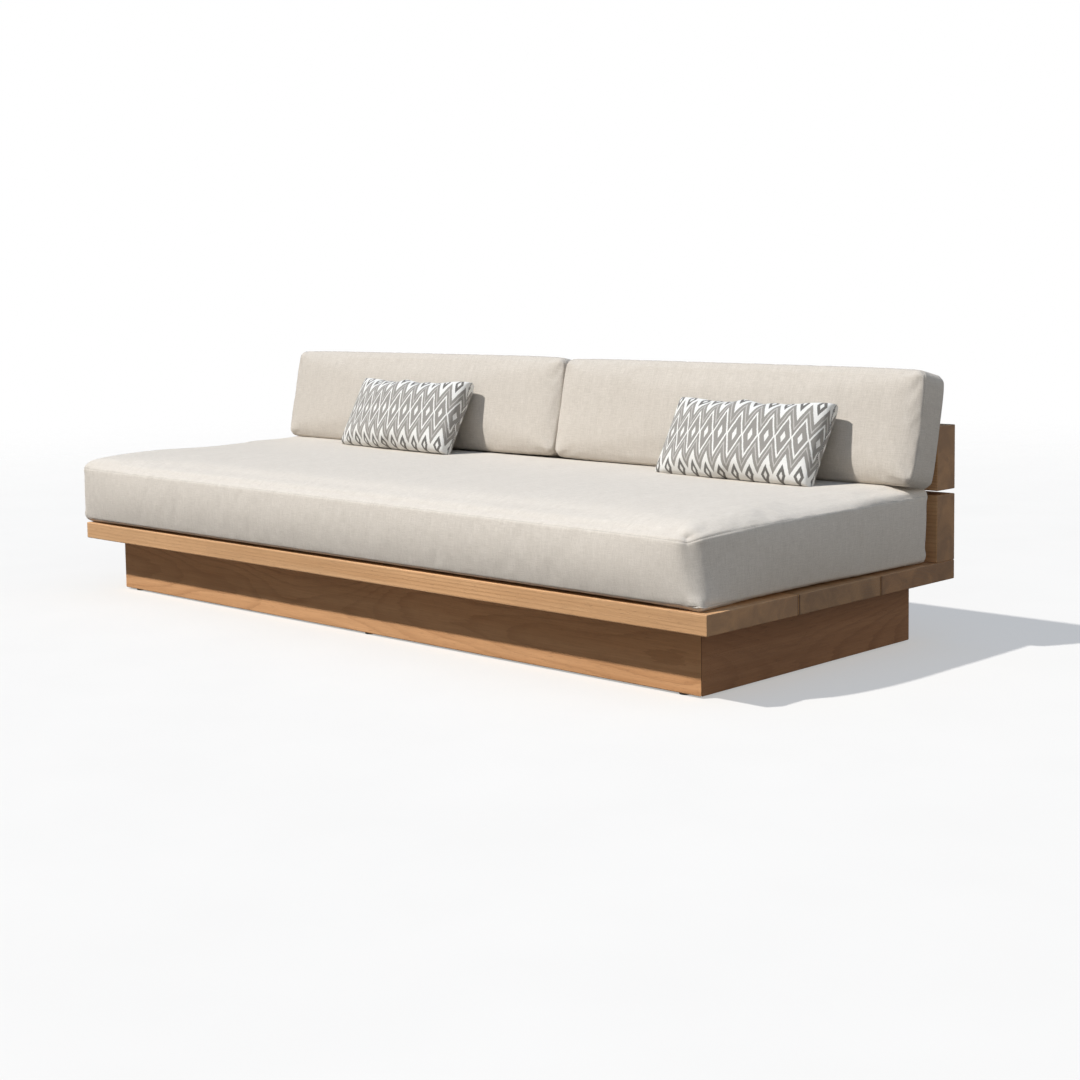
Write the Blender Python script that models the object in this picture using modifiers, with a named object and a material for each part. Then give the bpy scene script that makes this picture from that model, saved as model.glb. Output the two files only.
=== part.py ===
"""Platform daybed: a teak frame with two back beams, a mattress, two back cushions and two pillows.

Metres, +Z up. The length runs along X and the front faces -Y. The origin is on the floor under the
middle of the whole daybed's box. The soft goods overhang the left end a little more than the right,
so the timber frame sits FRAME_X to the right of that middle.
"""
import math

import bmesh
import bpy
from mathutils import Matrix, Vector

# ---- driving dimensions --------------------------------------------------------------------------
FIT = 0.0003              # gap left between pieces that touch
LENGTH = 2.45             # platform and back beams
DEPTH = 1.00
FRAME_X = 0.00625         # middle of the timber frame
EASE = 0.0022             # eased edges of the teak

GLIDE_HEIGHT = 0.004
GLIDE_RADIUS = 0.013
PLINTH_TOP = 0.161        # underside of the platform
PLINTH_INSET = 0.081      # the platform overhangs the plinth by this much all round
PLINTH_WALL = 0.030
CORNER_BLOCK = 0.045
BEARER_WIDTH = 0.070
BEARER_HEIGHT = 0.035
BEARER_X = (-0.38, 0.38)  # from the frame's middle

PLATFORM_TOP = 0.209
PLANK_COUNT = 3
PLANK_JOINT = 0.0030

BEAM_DEPTH = 0.082
LOWER_BEAM_TOP = 0.379
BEAM_GAP = 0.012
BACK_TOP = 0.5535

TIE_X = (-0.95, 0.0, 0.95)  # tie bolts, from the frame's middle
TIE_RADIUS = 0.006
TIE_HEAD_RADIUS = 0.013
TIE_HEAD_HEIGHT = 0.008
TIE_REACH = 0.060         # how far a tie bolt enters the upper beam
INSERT_RADIUS = 0.009
INSERT_LENGTH = 0.040
SPACER_RADIUS = 0.020
CLEARANCE = 0.0004        # radial gap round a bolt or screw

SCREW_RADIUS = 0.0025
SCREW_HEAD_RADIUS = 0.005
SCREW_HEAD_HEIGHT = 0.0035
SCREW_LENGTH = 0.062

WALL = 0.0025             # fabric cover with its fleece lining
CORE_GAP = 0.001
ZIP_SLOT = 0.005          # width of the opening that a zip closes

MATTRESS_X = (-1.23875, 1.21925)
MATTRESS_Y = (-0.498, 0.388)
MATTRESS_TOP = 0.404
MATTRESS_ROUND = 0.030
MATTRESS_ZIP = 2.20

BACK_CUSHIONS = {"left": (-1.2018, 0.0283), "right": (0.0388, 1.23875)}   # X of both ends
BACK_CUSHION_THICKNESS = 0.112
BACK_CUSHION_HEIGHT = 0.287             # along its lean
BACK_CUSHION_FOOT = (0.3848, 0.4002)    # Y and Z of its rear bottom edge before rounding
BACK_CUSHION_LEAN = math.radians(12.0)
BACK_CUSHION_ROUND = 0.025
BACK_CUSHION_ZIP = 1.10

# side: middle X, Y and height of the foot, width, height along the lean, lean, turn about Z
PILLOWS = {
    "right": (0.7640, 0.1700, 0.4078, 0.530, 0.228, math.radians(28.8), math.radians(-3.6)),
    "left": (-0.5580, 0.1720, 0.4078, 0.530, 0.234, math.radians(27.4), math.radians(-4.5)),
}
PILLOW_THICKNESS = 0.096
PILLOW_ZIP = 0.30

SLIDER = (0.012, 0.004, 0.008)          # length, depth, width of a zip slider
PULL = (0.006, 0.0012, 0.018)           # its pull tab


# ---- scene, materials and objects ----------------------------------------------------------------
def clear_scene():
    for obj in list(bpy.data.objects):
        bpy.data.objects.remove(obj, do_unlink=True)


def new_collection(name):
    collection = bpy.data.collections.new(name)
    bpy.context.scene.collection.children.link(collection)
    return collection


def new_material(name, colour, roughness, metallic=0.0):
    material = bpy.data.materials.new(name)
    material.use_nodes = True
    shader = material.node_tree.nodes["Principled BSDF"]
    shader.inputs["Base Color"].default_value = (*colour, 1.0)
    shader.inputs["Roughness"].default_value = roughness
    shader.inputs["Metallic"].default_value = metallic
    return material


clear_scene()
PARTS = new_collection("daybed")
CUTTERS = new_collection("daybed_cutters")
TEAK = new_material("teak", (0.49, 0.26, 0.12), 0.55)
COVER = new_material("oatmeal_canvas", (0.70, 0.65, 0.57), 0.95)
IKAT = new_material("grey_ikat", (0.42, 0.41, 0.40), 0.95)
FOAM = new_material("foam", (0.82, 0.76, 0.55), 0.90)
FIBRE = new_material("fibre_fill", (0.88, 0.88, 0.86), 0.95)
ZIP_TAPE = new_material("zip_tape", (0.60, 0.56, 0.50), 0.80)
ZIP_METAL = new_material("zip_metal", (0.55, 0.52, 0.47), 0.35, 1.0)
STEEL = new_material("steel", (0.56, 0.57, 0.58), 0.35, 1.0)
BRASS = new_material("brass", (0.72, 0.55, 0.25), 0.35, 1.0)
NYLON = new_material("nylon", (0.05, 0.05, 0.05), 0.60)


def new_object(name, mesh, material, place=Matrix(), parent=None, collection=PARTS):
    obj = bpy.data.objects.new(name, mesh)
    mesh.materials.append(material)
    collection.objects.link(obj)
    obj.parent = parent
    obj.matrix_local = place
    if collection is CUTTERS:
        obj.hide_render = True
        obj.display_type = 'WIRE'
    return obj


def new_empty(name, place):
    empty = bpy.data.objects.new(name, None)
    PARTS.objects.link(empty)
    empty.matrix_world = place
    return empty


def at(x, y, z):
    return Matrix.Translation((x, y, z))


def shade_round(mesh, angle=35.0):
    mesh.shade_smooth()
    mesh.set_sharp_from_angle(angle=math.radians(angle))


def ease_edges(obj, width, segments):
    bevel = obj.modifiers.new("eased_edges", 'BEVEL')
    bevel.width = width
    bevel.segments = segments
    bevel.limit_method = 'ANGLE'


def combine(obj, tools, operation='DIFFERENCE'):
    for tool in tools:
        boolean = obj.modifiers.new(tool.name, 'BOOLEAN')
        boolean.operation = operation
        boolean.object = tool
        boolean.solver = 'EXACT'


# ---- shapes --------------------------------------------------------------------------------------
def box_mesh(name, size):
    mesh = bpy.data.meshes.new(name)
    bm = bmesh.new()
    bmesh.ops.create_cube(bm, size=1.0, matrix=Matrix.Diagonal((*size, 1.0)))
    bm.to_mesh(mesh)
    bm.free()
    return mesh


def box(name, low, high, material, ease=EASE, segments=2, parent=None, collection=PARTS):
    low, high = Vector(low), Vector(high)
    mesh = box_mesh(name, high - low)
    obj = new_object(name, mesh, material, Matrix.Translation((low + high) / 2), parent, collection)
    if ease:
        ease_edges(obj, ease, segments)
    return obj


def cylinder_cutter(name, x, y, bottom, top, radius, sides=16):
    mesh = bpy.data.meshes.new(name)
    bm = bmesh.new()
    bmesh.ops.create_cone(bm, cap_ends=True, segments=sides, radius1=radius, radius2=radius,
                          depth=top - bottom)
    bm.to_mesh(mesh)
    bm.free()
    return new_object(name, mesh, STEEL, at(x, y, (bottom + top) / 2), collection=CUTTERS)


def turned(name, profile, place, material, steps=16):
    """Turn (radius, height) points about Z. The profile runs down the piece's outer side."""
    mesh = bpy.data.meshes.new(name)
    bm = bmesh.new()
    corners = [bm.verts.new((radius, 0.0, height)) for radius, height in profile]
    for upper, lower in zip(corners, corners[1:]):
        bm.edges.new((upper, lower))
    bm.to_mesh(mesh)
    bm.free()
    obj = new_object(name, mesh, material, place)
    screw = obj.modifiers.new("turned", 'SCREW')
    screw.axis = 'Z'
    screw.steps = steps
    screw.render_steps = steps
    screw.use_merge_vertices = True
    screw.merge_threshold = 0.0001
    screw.use_smooth_shade = True
    return obj


def mitred_panel(name, length, place):
    """An upright panel, outer face at -Y, whose ends are mitred at 45 degrees."""
    bottom = GLIDE_HEIGHT + FIT
    height = PLINTH_TOP - FIT - bottom
    mesh = box_mesh(name, (length - 2 * FIT, PLINTH_WALL, height))
    for vertex in mesh.vertices:
        if vertex.co.y > 0:
            vertex.co.x -= math.copysign(PLINTH_WALL, vertex.co.x)
    obj = new_object(name, mesh, TEAK, place @ at(0, PLINTH_WALL / 2, bottom + height / 2))
    ease_edges(obj, EASE, 2)
    return obj


# ---- plinth --------------------------------------------------------------------------------------
PLINTH_LENGTH = LENGTH - 2 * PLINTH_INSET
PLINTH_DEPTH = DEPTH - 2 * PLINTH_INSET
PLINTH_SIDE_X = PLINTH_LENGTH / 2
PLINTH_SIDE_Y = PLINTH_DEPTH / 2


def build_plinth():
    def turned_panel(angle, out):
        return at(FRAME_X, 0, 0) @ Matrix.Rotation(angle, 4, 'Z') @ at(0, -out, 0)

    panels = {
        "front": mitred_panel("plinth_front", PLINTH_LENGTH, turned_panel(0, PLINTH_SIDE_Y)),
        "right": mitred_panel("plinth_right", PLINTH_DEPTH, turned_panel(math.pi / 2, PLINTH_SIDE_X)),
        "back": mitred_panel("plinth_back", PLINTH_LENGTH, turned_panel(math.pi, PLINTH_SIDE_Y)),
        "left": mitred_panel("plinth_left", PLINTH_DEPTH, turned_panel(-math.pi / 2, PLINTH_SIDE_X)),
    }
    build_corner_blocks()
    build_glides(panels)


def build_corner_blocks():
    inner_x = PLINTH_SIDE_X - PLINTH_WALL - FIT
    inner_y = PLINTH_SIDE_Y - PLINTH_WALL - FIT
    for side_name, side in (("left", -1), ("right", 1)):
        for end_name, end in (("front", -1), ("back", 1)):
            xs = sorted((side * inner_x, side * (inner_x - CORNER_BLOCK)))
            ys = sorted((end * inner_y, end * (inner_y - CORNER_BLOCK)))
            box(f"corner_block_{end_name}_{side_name}",
                (FRAME_X + xs[0], ys[0], 0.012), (FRAME_X + xs[1], ys[1], 0.150), TEAK)


def build_glides(panels):
    pin_radius, pin_height = 0.002, 0.014
    profile = [(0, GLIDE_HEIGHT + pin_height), (pin_radius, GLIDE_HEIGHT + pin_height - 0.003),
               (pin_radius, GLIDE_HEIGHT), (GLIDE_RADIUS, GLIDE_HEIGHT),
               (GLIDE_RADIUS, 0.001), (GLIDE_RADIUS - 0.001, 0), (0, 0)]
    out = PLINTH_SIDE_Y - PLINTH_WALL / 2
    for end_name, end in (("front", -1), ("back", 1)):
        for side_name, side in (("left", -1), ("middle", 0), ("right", 1)):
            x = FRAME_X + side * (PLINTH_SIDE_X - 0.060)
            turned(f"glide_{end_name}_{side_name}", profile, at(x, end * out, 0), NYLON, steps=12)
            hole = cylinder_cutter(f"glide_hole_{end_name}_{side_name}", x, end * out, -0.01,
                                   GLIDE_HEIGHT + pin_height + 0.001, pin_radius + CLEARANCE, 12)
            combine(panels[end_name], [hole])


# ---- platform ------------------------------------------------------------------------------------
def build_platform():
    pitch = (DEPTH + PLANK_JOINT) / PLANK_COUNT
    names = ("platform_plank_front", "platform_plank_middle", "platform_plank_rear")
    planks = []
    for index, name in enumerate(names):
        front = -DEPTH / 2 + index * pitch
        planks.append(box(name, (FRAME_X - LENGTH / 2, front, PLINTH_TOP),
                          (FRAME_X + LENGTH / 2, front + pitch - PLANK_JOINT, PLATFORM_TOP), TEAK))
    middles = [-DEPTH / 2 + (index + 0.5) * pitch - PLANK_JOINT / 2 for index in range(PLANK_COUNT)]
    build_bearers(planks, middles)
    return planks


def build_bearers(planks, middles):
    top = PLINTH_TOP - FIT
    bottom = top - BEARER_HEIGHT
    reach = PLINTH_SIDE_Y - PLINTH_WALL - FIT
    head = bottom + 0.0005
    profile = [(0, SCREW_LENGTH), (SCREW_RADIUS, SCREW_LENGTH - 0.006),
               (SCREW_RADIUS, SCREW_HEAD_HEIGHT), (SCREW_HEAD_RADIUS, 0.0015),
               (SCREW_HEAD_RADIUS, 0), (0, 0)]
    for side_name, offset in zip(("left", "right"), BEARER_X):
        x = FRAME_X + offset
        bearer = box(f"bearer_{side_name}", (x - BEARER_WIDTH / 2, -reach, bottom),
                     (x + BEARER_WIDTH / 2, reach, top), TEAK)
        for row_name, plank, y in zip(("front", "middle", "rear"), planks, middles):
            name = f"{side_name}_{row_name}"
            turned(f"plank_screw_{name}", profile, at(x, y, head), STEEL, steps=12)
            hole = cylinder_cutter(f"screw_hole_{name}", x, y, bottom - 0.01,
                                   head + SCREW_LENGTH + 0.001, SCREW_RADIUS + CLEARANCE, 12)
            recess = cylinder_cutter(f"screw_recess_{name}", x, y, bottom - 0.01,
                                     head + SCREW_HEAD_HEIGHT + FIT, SCREW_HEAD_RADIUS + CLEARANCE, 12)
            combine(bearer, [hole, recess])
            combine(plank, [hole])


# ---- back ----------------------------------------------------------------------------------------
def build_back(rear_plank):
    front, rear = DEPTH / 2 - BEAM_DEPTH, DEPTH / 2
    left, right = FRAME_X - LENGTH / 2, FRAME_X + LENGTH / 2
    upper_bottom = LOWER_BEAM_TOP + BEAM_GAP
    lower = box("lower_back_beam", (left, front, PLATFORM_TOP + FIT),
                (right, rear, LOWER_BEAM_TOP), TEAK)
    upper = box("upper_back_beam", (left, front, upper_bottom), (right, rear, BACK_TOP), TEAK)
    y = (front + rear) / 2
    for name, offset in zip(("left", "middle", "right"), TIE_X):
        build_tie(name, FRAME_X + offset, y, upper_bottom, (rear_plank, lower, upper))


def build_tie(name, x, y, upper_bottom, timbers):
    """A bolt from under the platform through both beams, with its spacer and threaded insert."""
    rear_plank, lower, upper = timbers
    head_bottom = PLINTH_TOP + 0.002
    tip = upper_bottom + TIE_REACH
    turned(f"tie_bolt_{name}",
           [(0, tip), (TIE_RADIUS - 0.001, tip), (TIE_RADIUS, tip - 0.001),
            (TIE_RADIUS, head_bottom + TIE_HEAD_HEIGHT),
            (TIE_HEAD_RADIUS, head_bottom + TIE_HEAD_HEIGHT),
            (TIE_HEAD_RADIUS, head_bottom + 0.006), (0.0095, head_bottom + 0.0055),
            (0.0095, head_bottom), (0, head_bottom)], at(x, y, 0), STEEL)
    hole_radius = TIE_RADIUS + CLEARANCE
    turned(f"beam_spacer_{name}",
           [(hole_radius, upper_bottom - FIT), (SPACER_RADIUS, upper_bottom - FIT),
            (SPACER_RADIUS, LOWER_BEAM_TOP + FIT), (hole_radius, LOWER_BEAM_TOP + FIT),
            (hole_radius, upper_bottom - FIT)], at(x, y, 0), NYLON)
    insert_bottom = upper_bottom + 0.001
    turned(f"threaded_insert_{name}",
           [(hole_radius, insert_bottom + INSERT_LENGTH), (INSERT_RADIUS, insert_bottom + INSERT_LENGTH),
            (INSERT_RADIUS, insert_bottom), (hole_radius, insert_bottom),
            (hole_radius, insert_bottom + INSERT_LENGTH)], at(x, y, 0), BRASS)
    hole = cylinder_cutter(f"tie_hole_{name}", x, y, 0.150, tip + 0.003, hole_radius)
    recess = cylinder_cutter(f"tie_recess_{name}", x, y, 0.150,
                             head_bottom + TIE_HEAD_HEIGHT + FIT, TIE_HEAD_RADIUS + 0.002)
    socket = cylinder_cutter(f"insert_socket_{name}", x, y, upper_bottom - 0.004,
                             insert_bottom + INSERT_LENGTH + FIT, INSERT_RADIUS + CLEARANCE)
    combine(rear_plank, [hole, recess])
    combine(lower, [hole])
    combine(upper, [hole, socket])


# ---- soft goods ----------------------------------------------------------------------------------
def build_zip(prefix, holder, mouth, length):
    """A zip and its slider. In the mouth's frame X runs along the zip and Y points out of it."""
    zip_size = (length - 2 * FIT, WALL - 0.0005, ZIP_SLOT - 2 * FIT)
    new_object(f"{prefix}_zip", box_mesh(f"{prefix}_zip", zip_size), ZIP_TAPE,
               mouth @ at(0, -WALL / 2, 0), holder)
    end = length / 2 - SLIDER[0]
    slider = new_object(f"{prefix}_zip_slider", box_mesh(f"{prefix}_slider", SLIDER), ZIP_METAL,
                        mouth @ at(end, FIT + SLIDER[1] / 2, 0), holder)
    pull = new_object(f"{prefix}_pull", box_mesh(f"{prefix}_pull", PULL), ZIP_METAL,
                      mouth @ at(end, SLIDER[1] - PULL[1] / 2, -PULL[2] / 2), holder, CUTTERS)
    combine(slider, [pull], 'UNION')


def box_cushion(prefix, size, edge, holder, mouth, zip_length):
    """A boxed cover with its zip, round a foam core. The holder's frame is at the cushion's middle."""
    def rounded(name, inset, material, collection):
        inner = [side - 2 * inset for side in size]
        obj = new_object(name, box_mesh(name, inner), material, Matrix(), holder, collection)
        ease_edges(obj, edge - inset, 3)
        return obj

    cover = rounded(f"{prefix}_cover", 0.0, COVER, PARTS)
    rounded(f"{prefix}_core", WALL + CORE_GAP, FOAM, PARTS)
    hollow = rounded(f"{prefix}_hollow", WALL, FOAM, CUTTERS)
    slot = new_object(f"{prefix}_slot", box_mesh(f"{prefix}_slot", (zip_length, 4 * WALL, ZIP_SLOT)),
                      FOAM, mouth, holder, CUTTERS)
    combine(cover, [hollow, slot])
    build_zip(prefix, holder, mouth, zip_length)


def build_mattress():
    low = Vector((MATTRESS_X[0], MATTRESS_Y[0], PLATFORM_TOP + FIT))
    high = Vector((MATTRESS_X[1], MATTRESS_Y[1], MATTRESS_TOP))
    holder = new_empty("mattress_place", Matrix.Translation((low + high) / 2))
    size = high - low
    rear_face = at(0, size.y / 2, 0)
    box_cushion("mattress", size, MATTRESS_ROUND, holder, rear_face, MATTRESS_ZIP)


def build_back_cushions():
    thickness, height = BACK_CUSHION_THICKNESS, BACK_CUSHION_HEIGHT
    lean = Matrix.Rotation(-BACK_CUSHION_LEAN, 4, 'X')
    under_face = at(0, 0, -height / 2) @ Matrix.Rotation(-math.pi / 2, 4, 'X')
    for name, (left_end, right_end) in BACK_CUSHIONS.items():
        foot = at((left_end + right_end) / 2, *BACK_CUSHION_FOOT)
        holder = new_empty(f"back_cushion_{name}_place",
                           foot @ lean @ at(0, -thickness / 2, height / 2))
        box_cushion(f"back_cushion_{name}", (right_end - left_end, thickness, height),
                    BACK_CUSHION_ROUND, holder, under_face, BACK_CUSHION_ZIP)


def pillow_shape(name, width, height, thickness, material, holder, collection=PARTS):
    """A knife-edged pillow: one crowned half, mirrored onto the other at the seam."""
    mesh = bpy.data.meshes.new(name)
    bm = bmesh.new()
    bmesh.ops.create_grid(bm, x_segments=14, y_segments=8, size=1.0)
    for vertex in bm.verts:
        u, v = math.sin(vertex.co.x * math.pi / 2), math.sin(vertex.co.y * math.pi / 2)
        swell = ((1 - u ** 4) * (1 - v ** 2)) ** 0.7
        vertex.co = (u * width / 2, v * height / 2, swell * thickness / 2)
    bm.to_mesh(mesh)
    bm.free()
    shade_round(mesh, 60)
    obj = new_object(name, mesh, material, Matrix(), holder, collection)
    mirror = obj.modifiers.new("other_half", 'MIRROR')
    mirror.use_axis = (False, False, True)
    mirror.merge_threshold = 0.0001
    return obj


def build_pillow(side, x, y, foot, width, height, lean, turn):
    """The pillow's own frame has X along its width, Y up along its lean and Z out of its front."""
    prefix = f"pillow_{side}"
    upright = Matrix.Rotation(math.pi / 2 - lean, 4, 'X')
    place = at(x, y, foot) @ Matrix.Rotation(turn, 4, 'Z') @ upright @ at(0, height / 2, 0)
    holder = new_empty(f"{prefix}_place", place)
    cover = pillow_shape(f"{prefix}_cover", width, height, PILLOW_THICKNESS, IKAT, holder)
    margin = 0.024
    hollow = pillow_shape(f"{prefix}_hollow", width - margin, height - margin,
                          PILLOW_THICKNESS - 2 * WALL, FIBRE, holder, CUTTERS)
    pillow_shape(f"{prefix}_insert", width - margin - 0.008, height - margin - 0.008,
                 PILLOW_THICKNESS - 2 * WALL - 0.006, FIBRE, holder)
    slot = new_object(f"{prefix}_slot", box_mesh(f"{prefix}_slot", (PILLOW_ZIP, 0.036, ZIP_SLOT)),
                      FIBRE, at(0, -height / 2, 0), holder, CUTTERS)
    combine(cover, [hollow, slot])
    recess = SLIDER[1] + FIT
    mouth = at(0, -height / 2 + recess, 0) @ Matrix.Rotation(math.pi, 4, 'X')
    build_pillow_zip(prefix, holder, mouth)


def build_pillow_zip(prefix, holder, mouth):
    """A concealed zip: tape and slider both lie between the lips of the seam."""
    lip_gap = ZIP_SLOT - 2 * FIT
    new_object(f"{prefix}_zip", box_mesh(f"{prefix}_zip", (PILLOW_ZIP - 2 * FIT, WALL, lip_gap)),
               ZIP_TAPE, mouth @ at(0, -WALL / 2, 0), holder)
    end = PILLOW_ZIP / 2 - SLIDER[0]
    slider_size = (SLIDER[0], SLIDER[1] - FIT, lip_gap)
    new_object(f"{prefix}_zip_slider", box_mesh(f"{prefix}_zip_slider", slider_size), ZIP_METAL,
               mouth @ at(end, FIT + slider_size[1] / 2, 0), holder)


# ---- the daybed ----------------------------------------------------------------------------------
build_plinth()
plank_row = build_platform()
build_back(plank_row[-1])
build_mattress()
build_back_cushions()
for pillow_side, pillow in PILLOWS.items():
    build_pillow(pillow_side, *pillow)
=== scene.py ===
"""Looks for the platform daybed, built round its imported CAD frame. Metres, +Z up, front at -Y."""
import math

import bmesh
import bpy
import numpy as np
from mathutils import Matrix, Vector


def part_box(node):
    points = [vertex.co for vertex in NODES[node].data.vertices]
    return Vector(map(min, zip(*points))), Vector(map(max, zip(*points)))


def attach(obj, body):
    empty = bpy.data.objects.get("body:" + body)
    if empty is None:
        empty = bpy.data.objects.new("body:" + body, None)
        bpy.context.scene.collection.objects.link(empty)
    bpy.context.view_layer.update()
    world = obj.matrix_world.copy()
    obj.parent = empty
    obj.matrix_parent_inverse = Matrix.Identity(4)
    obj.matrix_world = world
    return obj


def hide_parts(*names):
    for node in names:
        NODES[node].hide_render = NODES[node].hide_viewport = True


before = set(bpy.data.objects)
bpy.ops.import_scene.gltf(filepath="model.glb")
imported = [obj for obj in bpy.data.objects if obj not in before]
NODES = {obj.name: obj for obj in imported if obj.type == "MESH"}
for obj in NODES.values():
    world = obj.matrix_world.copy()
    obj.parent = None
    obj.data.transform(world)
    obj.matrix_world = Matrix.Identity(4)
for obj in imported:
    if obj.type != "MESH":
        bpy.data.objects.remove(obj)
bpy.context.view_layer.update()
scene = bpy.context.scene


# ---- shader graphs -------------------------------------------------------------------------------
class Graph:
    """Short calls that add nodes to the tree of a material or a world."""

    def __init__(self, owner):
        owner.use_nodes = True
        self.tree = owner.node_tree

    def put(self, socket, value):
        if isinstance(value, bpy.types.NodeSocket):
            self.tree.links.new(value, socket)
        elif isinstance(value, (tuple, list)) and len(value) == 3 and socket.type == 'RGBA':
            socket.default_value = (*value, 1.0)
        else:
            socket.default_value = value

    def node(self, kind, inputs=None, **settings):
        node = self.tree.nodes.new("ShaderNode" + kind)
        for key, value in settings.items():
            setattr(node, key, value)
        for key, value in (inputs or {}).items():
            self.put(node.inputs[key], value)
        return node

    def math(self, operation, *values):
        node = self.node("Math", operation=operation)
        for socket, value in zip(node.inputs, values):
            self.put(socket, value)
        return node.outputs[0]

    def coords(self, output="Object"):
        return self.node("TexCoord").outputs[output]

    def uv(self, name):
        return self.node("UVMap", uv_map=name).outputs[0]

    def placed(self, coords, scale=(1, 1, 1), turn=(0, 0, 0), shift=(0, 0, 0)):
        return self.node("Mapping", {"Vector": coords, "Location": shift, "Rotation": turn,
                                     "Scale": scale}).outputs[0]

    def split(self, vector):
        node = self.node("SeparateXYZ", {0: vector})
        return node.outputs[0], node.outputs[1], node.outputs[2]

    def join(self, x, y, z):
        return self.node("CombineXYZ", {0: x, 1: y, 2: z}).outputs[0]

    def noise(self, coords, scale, detail=3.0, roughness=0.5, distortion=0.0):
        return self.node("TexNoise", {"Vector": coords, "Scale": scale, "Detail": detail,
                                      "Roughness": roughness, "Distortion": distortion}).outputs[0]

    def remap(self, value, low, high, to_low=0.0, to_high=1.0, smooth=False):
        kind = 'SMOOTHSTEP' if smooth else 'LINEAR'
        return self.node("MapRange", {0: value, 1: low, 2: high, 3: to_low, 4: to_high},
                         interpolation_type=kind, clamp=True).outputs[0]

    def mix(self, factor, first, second, blend='MIX'):
        node = self.node("Mix", data_type='RGBA', blend_type=blend)
        self.put(node.inputs[0], factor)
        self.put(node.inputs[6], first)
        self.put(node.inputs[7], second)
        return node.outputs[2]

    def shaded(self, colour, shade):
        """A colour times a brightness."""
        return self.mix(1.0, colour, self.join(shade, shade, shade), 'MULTIPLY')

    def distance(self, x, y):
        """How far a point lies from its plane's origin."""
        return self.math('SQRT', self.math('ADD', self.math('MULTIPLY', x, x),
                                           self.math('MULTIPLY', y, y)))


class Surface(Graph):
    """A Principled material."""

    def __init__(self, name):
        self.material = bpy.data.materials.new(name)
        super().__init__(self.material)
        self.shader = self.tree.nodes["Principled BSDF"]

    def finish(self, colour, height, depth, roughness, **constants):
        """Set the colour, the bump (a height in 0..1 that stands for depth metres) and the rest."""
        self.put(self.shader.inputs["Base Color"], colour)
        self.put(self.shader.inputs["Roughness"], roughness)
        bump = self.node("Bump", {"Height": height, "Distance": depth, "Strength": 1.0})
        self.put(self.shader.inputs["Normal"], bump.outputs[0])
        for name, value in constants.items():
            self.put(self.shader.inputs[name.replace("_", " ")], value)
        return self.material


# ---- camera, light and floor ---------------------------------------------------------------------
CAMERA_PLACE = (3.598, -3.439, 0.914)
CAMERA_AZIMUTH = math.radians(44.188)
CAMERA_ELEVATION = math.radians(5.244)
CAMERA_ROLL = math.radians(-0.823)
CAMERA_SENSOR = 36.0
CAMERA_LENS = 59.32
CAMERA_SHIFT = -0.0833
SUN_FROM = (-0.68, -1.0, 1.47)
SUN_STRENGTH = 4.28
SUN_ANGLE = math.radians(1.6)
SUN_COLOUR = (1.0, 0.975, 0.94)
SKY_TOP = (0.0, 0.18, 0.45)
SKY_FRONT = (0.06, 0.04, 0.02)
SKY_RIGHT = (0.87, 0.84, 0.79)
FLOOR_RADIUS = 9.0
FLOOR_FADE = (2.6, 8.1)             # the floor fades out between these distances from the middle
FLOOR_SEEN = (0.42, 0.41, 0.395)    # its shade, as the camera sees it
FLOOR_GLOW = 0.42                   # how much it glows for the camera, which keeps its shadows pale
FLOOR_GLOW_COLOUR = (1.0, 0.98, 0.95)
FLOOR_BOUNCE = (0.09, 0.09, 0.09)   # its shade for the light that it throws back


def add_camera():
    data = bpy.data.cameras.new("camera")
    data.sensor_width = CAMERA_SENSOR
    data.lens = CAMERA_LENS
    data.shift_y = CAMERA_SHIFT
    camera = bpy.data.objects.new("camera", data)
    scene.collection.objects.link(camera)
    camera.matrix_world = (Matrix.Translation(CAMERA_PLACE)
                           @ Matrix.Rotation(CAMERA_AZIMUTH, 4, 'Z')
                           @ Matrix.Rotation(math.pi / 2 - CAMERA_ELEVATION, 4, 'X')
                           @ Matrix.Rotation(CAMERA_ROLL, 4, 'Z'))
    scene.camera = camera


def add_light():
    data = bpy.data.lights.new("key", 'SUN')
    data.energy = SUN_STRENGTH
    data.angle = SUN_ANGLE
    data.color = SUN_COLOUR
    key = bpy.data.objects.new("key", data)
    scene.collection.objects.link(key)
    key.rotation_mode = 'QUATERNION'
    key.rotation_quaternion = Vector(SUN_FROM).to_track_quat('Z', 'Y')
    scene.world = studio_sky()
    scene.view_settings.view_transform = 'Standard'


def studio_sky():
    """A white backdrop that lights like a bluish overhead softbox with a paler one on the right."""
    world = bpy.data.worlds.new("studio")
    graph = Graph(world)
    x, _, z = graph.split(graph.coords("Generated"))
    side = graph.mix(graph.remap(x, -0.5, 0.9), SKY_FRONT, SKY_RIGHT)
    up = graph.math('MAXIMUM', z, 0.0)
    height = graph.math('MULTIPLY', up, up)
    light = graph.node("Background", {"Color": graph.mix(height, side, SKY_TOP)})
    backdrop = graph.node("Background", {"Color": (1.0, 1.0, 1.0)})
    seen = graph.node("LightPath").outputs["Is Camera Ray"]
    shown = graph.node("MixShader", {0: seen, 1: light.outputs[0], 2: backdrop.outputs[0]})
    graph.put(graph.tree.nodes["World Output"].inputs["Surface"], shown.outputs[0])
    return world


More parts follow.
